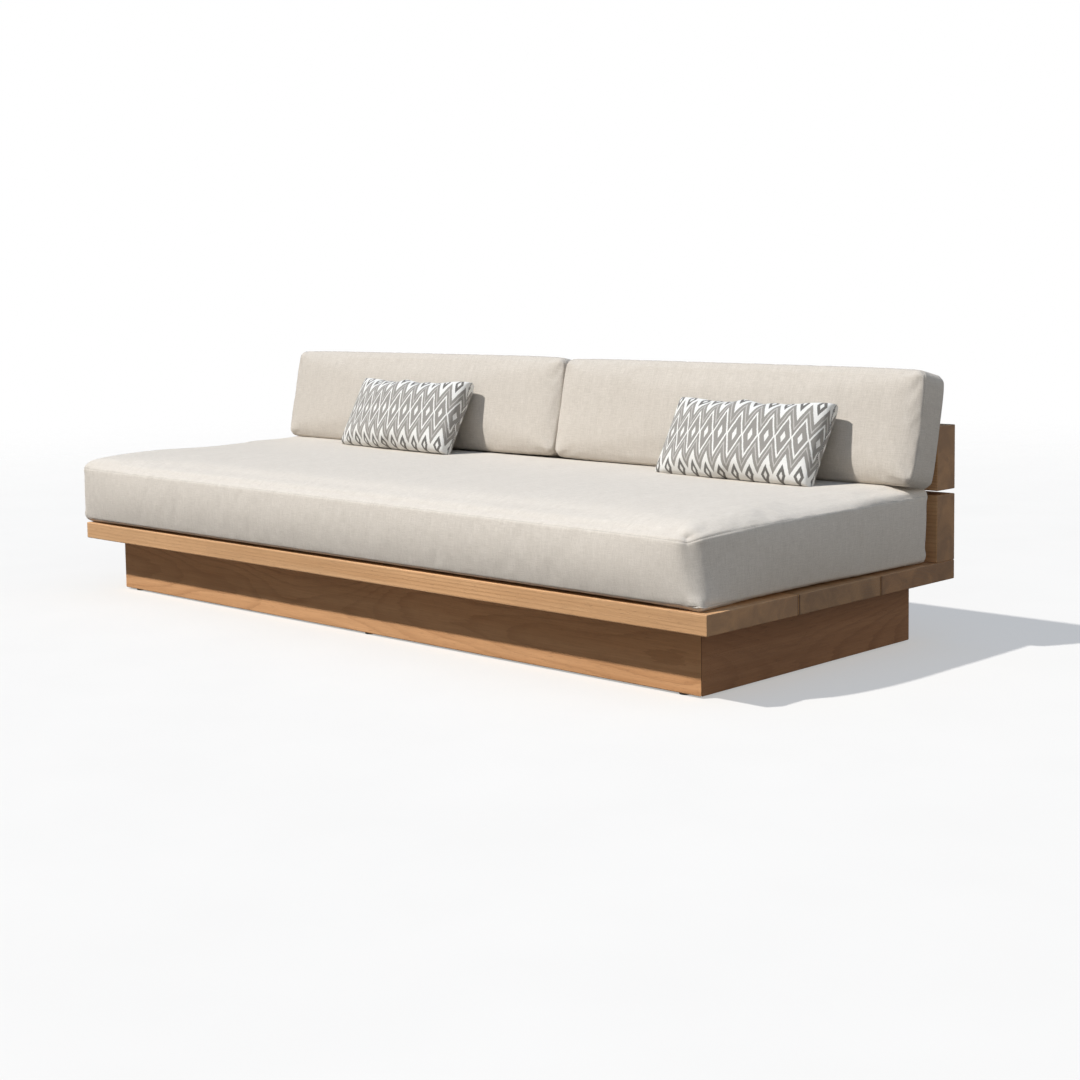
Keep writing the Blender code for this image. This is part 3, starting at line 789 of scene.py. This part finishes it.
def mattress_shape(half):
    """The mattress's sag, crown and corners. u, v and w are its points' places, -1 to 1 on each axis."""
    def shape(points, unit):
        u, v, w = unit.T
        up = (w + 1) / 2
        to_right = (u + 1) / 2
        to_front = np.clip(-v, 0, 1)
        radius = np.outer(1 - up, MATTRESS_FOOT_RADIUS) + np.outer(up, MATTRESS_TOP_RADIUS)
        radius[:, :2] *= 1 - (1 - MATTRESS_REAR_CORNER) * np.clip(v, 0, 1)[:, None]
        radius[:, :2] *= 1 - (1 - MATTRESS_LEFT_CORNER) * (np.clip(-u, 0, 1) * to_front)[:, None]
        radius[:, 2] *= 1 - (1 - MATTRESS_REAR_TOP) * ease(2 * v)
        points = round_off(points, half, radius)
        sag = (1 - np.clip((v + 1) / MATTRESS_SAG_REACH, 0, 1)) ** 2
        sag *= MATTRESS_FRONT_SAG[0] + MATTRESS_FRONT_SAG[1] * u
        points[:, 2] += up * (MATTRESS_RIGHT_RISE * to_right - sag)
        rise = np.where(v < 0, 1 - v ** 2, (1 + 1.2 * v ** 4) * (1 - np.abs(v) ** 16))
        fade = 1 - np.abs(u) ** (12 + 36 * np.clip(v, 0, 1))
        crown = MATTRESS_CROWN[0] + MATTRESS_CROWN[1] * u
        points[:, 2] += np.clip(w, 0, 1) ** 4 * crown * rise * fade
        points[:, 2] -= MATTRESS_CORNER_DIP * up * (np.clip(u, 0, 1) * to_front) ** 14
        low_swell = np.clip(1 - ((w + 0.20) / 1.20) ** 2, 0, 1)
        points[:, 1] -= MATTRESS_BELLY * to_front ** 20 * low_swell * (1 - np.abs(u) ** 12)
        swell = np.clip(1 - ((w - 0.35) / 1.35) ** 2, 0, 1)
        corner = np.where(u > 0, to_front ** 4, 0.0)
        points[:, 0] += MATTRESS_END_SWELL * np.sign(u) * np.abs(u) ** 60 * swell * (1 - corner)
        drawn_in = np.clip(u, 0, 1) ** 8 * to_front ** 3 * (1 - (1 - up) ** 3)
        points[:, 0] -= MATTRESS_CORNER_PULL * drawn_in
        return points

    return shape


def add_mattress():
    low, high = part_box("mattress_cover")
    high.z = MATTRESS_EDGE_TOP
    half = np.array(high - low) / 2
    obj, unit = box_cushion("mattress_canvas", half * 2, MATTRESS_TOP_RADIUS, MATTRESS_STEP,
                            mattress_shape(half), 2, MATTRESS_SEAMS, seed=0.0, tone=1.0)
    obj.location = (low + high) / 2
    opening = zip_middle("mattress_zip")
    zip_face = (1, 1, 2, opening.z - obj.location.z)
    sew(obj, unit, half, 2, MATTRESS_SEAMS, MATTRESS_PRESSURE, zip_face)
    add_zip("mattress", "mattress", Matrix.Translation(opening), "mattress_zip")
    soft_piece(obj, "mattress", ("mattress_cover", "mattress_core"))


# ---- back cushions -------------------------------------------------------------------------------
BACK_THICKNESS = 0.112
BACK_HEIGHT = 0.287
BACK_LEAN = math.radians(12.0)
BACK_RADIUS = (0.020, 0.020, 0.020)
BACK_SEAMS = (0.80, -0.80)
BACK_BELLY = 0.008              # how far the front swells out
BACK_TOP_SWELL = 0.004          # how far the top and the bottom do
BACK_END_SWELL = 0.008          # how far the ends do
BACK_STEP = 0.011
BACK_PRESSURE = 1.5
BACK_TONE = 0.88
BACK_SETTLE = {"left": (0.0055, 0.0), "right": (-0.0010, 0.0052)}    # rise, and roll to the right


def back_shape(half):
    """A back cushion's swell, with u, v and w as in mattress_shape."""
    def shape(points, unit):
        u, v, w = unit.T
        points = round_off(points, half, np.tile(BACK_RADIUS, (len(points), 1)))
        crown = (1 - np.abs(u) ** 10) * (1 - np.abs(w) ** 4)
        points[:, 1] -= BACK_BELLY * np.clip(-v, 0, 1) ** 3 * crown
        points[:, 2] += BACK_TOP_SWELL * np.sign(w) * np.abs(w) ** 12 * (1 - np.abs(u) ** 8)
        points[:, 0] += BACK_END_SWELL * np.sign(u) * np.abs(u) ** 40 * (1 - w ** 4)
        return points

    return shape


def add_back_cushions():
    for seed, side in enumerate(("left", "right"), 2):
        body = f"back_cushion_{side}"
        low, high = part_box(f"{body}_cover")
        half = np.array((high.x - low.x, BACK_THICKNESS, BACK_HEIGHT)) / 2
        obj, unit = box_cushion(f"{body}_canvas", half * 2, BACK_RADIUS, BACK_STEP,
                                back_shape(half), 1, BACK_SEAMS, seed, BACK_TONE)
        rise, roll = BACK_SETTLE[side]
        middle = (low + high) / 2
        middle.z += rise
        obj.matrix_world = (Matrix.Translation(middle) @ Matrix.Rotation(roll, 4, 'Y')
                            @ Matrix.Rotation(-BACK_LEAN, 4, 'X'))
        sew(obj, unit, half, 1, BACK_SEAMS, BACK_PRESSURE, (2, -1, 1, 0.0))
        under_face = (Matrix.Translation((0, 0, rise)) @ Matrix.Translation(zip_middle(f"{body}_zip"))
                      @ Matrix.Rotation(-BACK_LEAN - math.pi / 2, 4, 'X'))
        add_zip(body, body, under_face, f"{body}_zip")
        soft_piece(obj, body, (f"{body}_cover", f"{body}_core"))


# ---- pillows -------------------------------------------------------------------------------------
# side: foot X, Y and Z, width and height between corners, lean, turn about Z
PILLOWS = {
    "right": (0.7690, 0.1710, 0.4085, 0.531, 0.2266, math.radians(28.4), math.radians(-3.7)),
    "left": (-0.5600, 0.1830, 0.4180, 0.543, 0.2335, math.radians(27.1), math.radians(-4.7)),
}
PILLOW_CUT = (0.545, 0.262)     # each cover's two pieces, before filling
PILLOW_BELLY = (0.016, 0.020)   # how far the cut's edges stand out between its corners
PILLOW_LIFT = 0.003             # how far each sheet starts off the seam's plane
PILLOW_PRESSURE = 3.5
PILLOW_GROWTH = 0.002
PILLOW_BEND = 0.4
PILLOW_FRAMES = 20
PILLOW_RELAX = 12
PILLOW_SWELL = (0.068, 0.046)   # how far its front and its back stand off the seam's plane
PILLOW_BLUNT = (0.62, 0.18)     # how slowly it thickens from its edges, and how much faster at the right
PILLOW_STEP = 0.0055
PILLOW_ZIP_RISE = 0.003         # the concealed zip lies above the bottom seam
PILLOW_ZIP_SETBACK = 0.0044     # and behind it, in the back panel
SEAM_SAG = {"top": 0.013, "bottom": -0.001, "side": 0.006}   # how far each seam pulls in, half way


def pillow_sheets(name, material):
    """Two flat sheets joined round their edge. Returns the object and its points' shares of the cut."""
    width, height = PILLOW_CUT
    columns, rows = round(width / PILLOW_STEP), round(height / PILLOW_STEP)
    xs = np.linspace(-width / 2, width / 2, columns + 1)
    ys = np.linspace(-height / 2, height / 2, rows + 1)
    top = np.arange((columns + 1) * (rows + 1)).reshape(columns + 1, rows + 1)
    bottom = top.copy()
    inner = bottom[1:-1, 1:-1]
    bottom[1:-1, 1:-1] = top.size + np.arange(inner.size).reshape(inner.shape)
    flat = np.array([(x, y) for x in xs for y in ys])
    inside = np.array([(x, y) for x in xs[1:-1] for y in ys[1:-1]])
    cut = np.vstack([flat, inside])
    unit = cut / (width / 2, height / 2)
    points = np.column_stack([cut, np.zeros(len(cut))])
    points[:, 0] += PILLOW_BELLY[0] * unit[:, 0] * (1 - unit[:, 1] ** 2)
    points[:, 1] += PILLOW_BELLY[1] * unit[:, 1] * (1 - unit[:, 0] ** 2)
    points[top[1:-1, 1:-1].ravel(), 2] = PILLOW_LIFT
    points[top.size:, 2] = -PILLOW_LIFT
    faces = []
    for sheet, flip in ((top, False), (bottom, True)):
        for i in range(columns):
            for j in range(rows):
                quad = [sheet[i, j], sheet[i + 1, j], sheet[i + 1, j + 1], sheet[i, j + 1]]
                faces.append(quad[::-1] if flip else quad)
    return cloth_mesh(name, points, faces, lambda loops: cut[loops], material), unit


def fit_pillow(points, unit, width, height):
    """Bring a filled pillow to its size, with its seams at their own sag."""
    u, v = unit.T
    depth = points[:, 2]
    bluntness = PILLOW_BLUNT[0] - PILLOW_BLUNT[1] * ease(u)
    for side, swell in ((depth > 0, PILLOW_SWELL[0]), (depth < 0, -PILLOW_SWELL[1])):
        share = np.abs(depth[side]) / np.abs(depth[side]).max()
        depth[side] = swell * share ** bluntness[side]
    goal = {
        (1, 1): height / 2 - SEAM_SAG["top"] * (1 - u ** 2) ** 1.2,
        (1, -1): -height / 2 + SEAM_SAG["bottom"] * (1 - u ** 2),
        (0, 1): width / 2 - SEAM_SAG["side"] * (1 - v ** 2),
        (0, -1): -width / 2 + SEAM_SAG["side"] * (1 - v ** 2),
    }
    moved = points.copy()
    for (axis, end), line in goal.items():
        along = unit[:, 1 - axis]
        seam = np.abs(unit[:, axis] - end) < SLACK
        order = np.argsort(along[seam])
        now = np.interp(along, along[seam][order], points[seam, axis][order])
        share = (1 + end * unit[:, axis]) / 2
        moved[:, axis] += (line - now) * share
    return moved


def lay_cloth(obj, unit):
    """Let the pattern's columns run on evenly over the filled pillow's blunt ends."""
    columns, rows = (round(size / PILLOW_STEP) + 1 for size in PILLOW_CUT)
    front = mesh_points(obj.data)[:columns * rows].reshape(columns, rows, 3)
    steps = np.linalg.norm(np.diff(front, axis=0), axis=2).mean(axis=1)
    along = np.concatenate([[0.0], np.cumsum(steps)])
    along -= (along[(columns - 1) // 2] + along[columns // 2]) / 2
    along *= PILLOW_CUT[0] / (columns - 1) / steps[columns // 2]
    mesh = obj.data
    corners = unit[[loop.vertex_index for loop in mesh.loops]]
    uv = corners * np.array(PILLOW_CUT) / 2
    uv[:, 0] = np.interp(corners[:, 0], np.linspace(-1, 1, columns), along)
    mesh.uv_layers[CLOTH_UV].data.foreach_set("uv", uv.ravel())


def add_pillows():
    for side, (x, y, z, width, height, lean, turn) in PILLOWS.items():
        body = f"pillow_{side}"
        obj, unit = pillow_sheets(f"{body}_ikat", ikat(f"ikat_{side}"))
        simulate(obj, PILLOW_PRESSURE, PILLOW_FRAMES, np.zeros(len(unit)),
                 growth=PILLOW_GROWTH, bend=PILLOW_BEND)
        relax(obj, PILLOW_RELAX, np.ones(len(unit), bool))
        put_points(obj.data, fit_pillow(mesh_points(obj.data), unit, width, height))
        lay_cloth(obj, unit)
        obj.matrix_world = (Matrix.Translation((x, y, z)) @ Matrix.Rotation(turn, 4, 'Z')
                            @ Matrix.Rotation(math.pi / 2 - lean, 4, 'X')
                            @ Matrix.Translation((0, height / 2, 0)))
        add_whipped_edge(obj, unit, body)
        smooth_finish(obj)
        soft_piece(obj, body, (f"{body}_cover", f"{body}_insert"))
        on_seam = Matrix.Translation((0, PILLOW_ZIP_RISE - height / 2, -PILLOW_ZIP_SETBACK))
        mouth = obj.matrix_world @ on_seam
        add_zip(body, body, mouth @ Matrix.Rotation(math.pi, 4, 'X'), f"{body}_zip", concealed=True)


def add_whipped_edge(obj, unit, body):
    """The overcast thread along a pillow's seam, as a thin striped roll."""
    on_edge = np.flatnonzero(np.max(np.abs(unit), axis=1) > 1 - SLACK)
    order = on_edge[np.argsort(np.arctan2(unit[on_edge, 1], unit[on_edge, 0]))]
    path = mesh_points(obj.data)[order]
    curve = bpy.data.curves.new(f"{body}_edge", 'CURVE')
    curve.dimensions = '3D'
    curve.bevel_depth = WHIP_RADIUS
    curve.bevel_resolution = 2
    spline = curve.splines.new('POLY')
    spline.points.add(len(path) - 1)
    spline.points.foreach_set("co", np.column_stack([path, np.ones(len(path))]).ravel())
    spline.use_cyclic_u = True
    edge = bpy.data.objects.new(f"{body}_edge", curve)
    edge.matrix_world = obj.matrix_world
    scene.collection.objects.link(edge)
    curve.materials.append(whipped_thread(f"{body}_thread"))
    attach(edge, body)


# ---- pillow cloth --------------------------------------------------------------------------------
IKAT_WHITE = (0.80, 0.79, 0.76)
IKAT_GREY = (0.300, 0.285, 0.262)
IKAT_PALE = (0.52, 0.50, 0.47)
IKAT_DARK = (0.165, 0.157, 0.145)
IKAT_COLUMNS = 11
IKAT_DIAMOND = 0.056            # half the height of the middle diamonds, which sets every slope
IKAT_SMALL = 0.103              # how far the rows of small diamonds lie from the middle
IKAT_SPOT = 0.70                # how far each small diamond's ground reaches from its middle
IKAT_RANGE = 3.6                # the colour bands cover values from 0 to this
IKAT_THREAD = 0.0016
WHIP_RADIUS = 0.0013
WHIP_TURN = 0.0048


def ikat(name):
    """Woven rows of grey diamonds and chevrons on white, with feathered edges."""
    graph = Surface(name)
    cloth = graph.uv(CLOTH_UV)
    feather = graph.noise(graph.placed(cloth, scale=(900.0, 60.0, 1.0)), 1.0, 2.0, 0.6)
    wobble = graph.noise(graph.placed(cloth, scale=(60.0, 60.0, 1.0)), 1.0, 2.0, 0.5)
    u, v, _ = graph.split(cloth)
    u = graph.math('ADD', u, graph.math('MULTIPLY', graph.math('SUBTRACT', wobble, 0.5), 0.0030))
    v = graph.math('ADD', v, graph.math('MULTIPLY', graph.math('SUBTRACT', feather, 0.5), 0.0060))
    pitch = PILLOW_CUT[0] / IKAT_COLUMNS
    half_columns = graph.math('DIVIDE', graph.math('ADD', u, pitch / 2), pitch / 2)
    column = graph.math('PINGPONG', half_columns, 1.0)
    height = graph.math('ABSOLUTE', v)
    zigzag = graph.math('ADD', graph.math('DIVIDE', height, IKAT_DIAMOND), column)
    place = graph.math('ABSOLUTE', graph.math('SUBTRACT', height, IKAT_SMALL))
    small = graph.math('SUBTRACT', graph.math('ADD', graph.math('DIVIDE', place, IKAT_DIAMOND), 1.0),
                       column)
    ground = stripes(graph, zigzag, ((0.0, IKAT_WHITE), (0.28, IKAT_GREY), (0.84, IKAT_WHITE),
                                     (1.04, IKAT_GREY), (1.32, IKAT_PALE), (1.44, IKAT_GREY),
                                     (1.80, IKAT_WHITE)))
    spots = stripes(graph, small, ((0.0, IKAT_WHITE), (0.22, IKAT_DARK), (0.56, IKAT_WHITE)))
    pattern = graph.mix(graph.math('LESS_THAN', small, IKAT_SPOT), ground, spots)
    fleck = graph.noise(graph.placed(cloth, scale=(520.0, 520.0, 1.0)), 1.0, 3.0, 0.7)
    shade = graph.remap(fleck, 0.3, 0.7, 0.82, 1.10)
    pattern = graph.shaded(pattern, shade)
    relief, _ = weave(graph, *graph.split(cloth)[:2], IKAT_THREAD)
    return graph.finish(pattern, relief, 0.0007, 0.92, Specular_IOR_Level=0.15,
                        Sheen_Weight=0.10, Sheen_Roughness=0.5)


def stripes(graph, value, bands):
    """Colour bands of a value, each from its own start up to the next."""
    ramp = graph.node("ValToRGB", {0: graph.math('DIVIDE', value, IKAT_RANGE)})
    ramp.color_ramp.interpolation = 'CONSTANT'
    elements = ramp.color_ramp.elements
    while len(elements) < len(bands):
        elements.new(1.0)
    for element, (start, colour) in zip(elements, bands):
        element.position = start / IKAT_RANGE
        element.color = (*colour, 1.0)
    return ramp.outputs[0]


def whipped_thread(name):
    graph = Surface(name)
    x, y, _ = graph.split(graph.coords())
    uneven = graph.math('MULTIPLY', graph.noise(graph.coords(), 160.0), 0.006)
    place = graph.math('ADD', graph.math('ADD', x, y), uneven)
    turn = graph.math('FRACT', graph.math('DIVIDE', place, WHIP_TURN))
    fibre = graph.noise(graph.coords(), 900.0)
    colour = graph.mix(graph.math('LESS_THAN', turn, 0.45), IKAT_PALE, IKAT_DARK)
    shade = graph.remap(fibre, 0.3, 0.7, 0.85, 1.1)
    colour = graph.shaded(colour, shade)
    return graph.finish(colour, fibre, 0.0003, 0.9, Specular_IOR_Level=0.15)


# ---- the scene -----------------------------------------------------------------------------------
add_camera()
add_light()
add_floor()
dress_timber()
dress_hardware()
add_mattress()
add_back_cushions()
add_pillows()
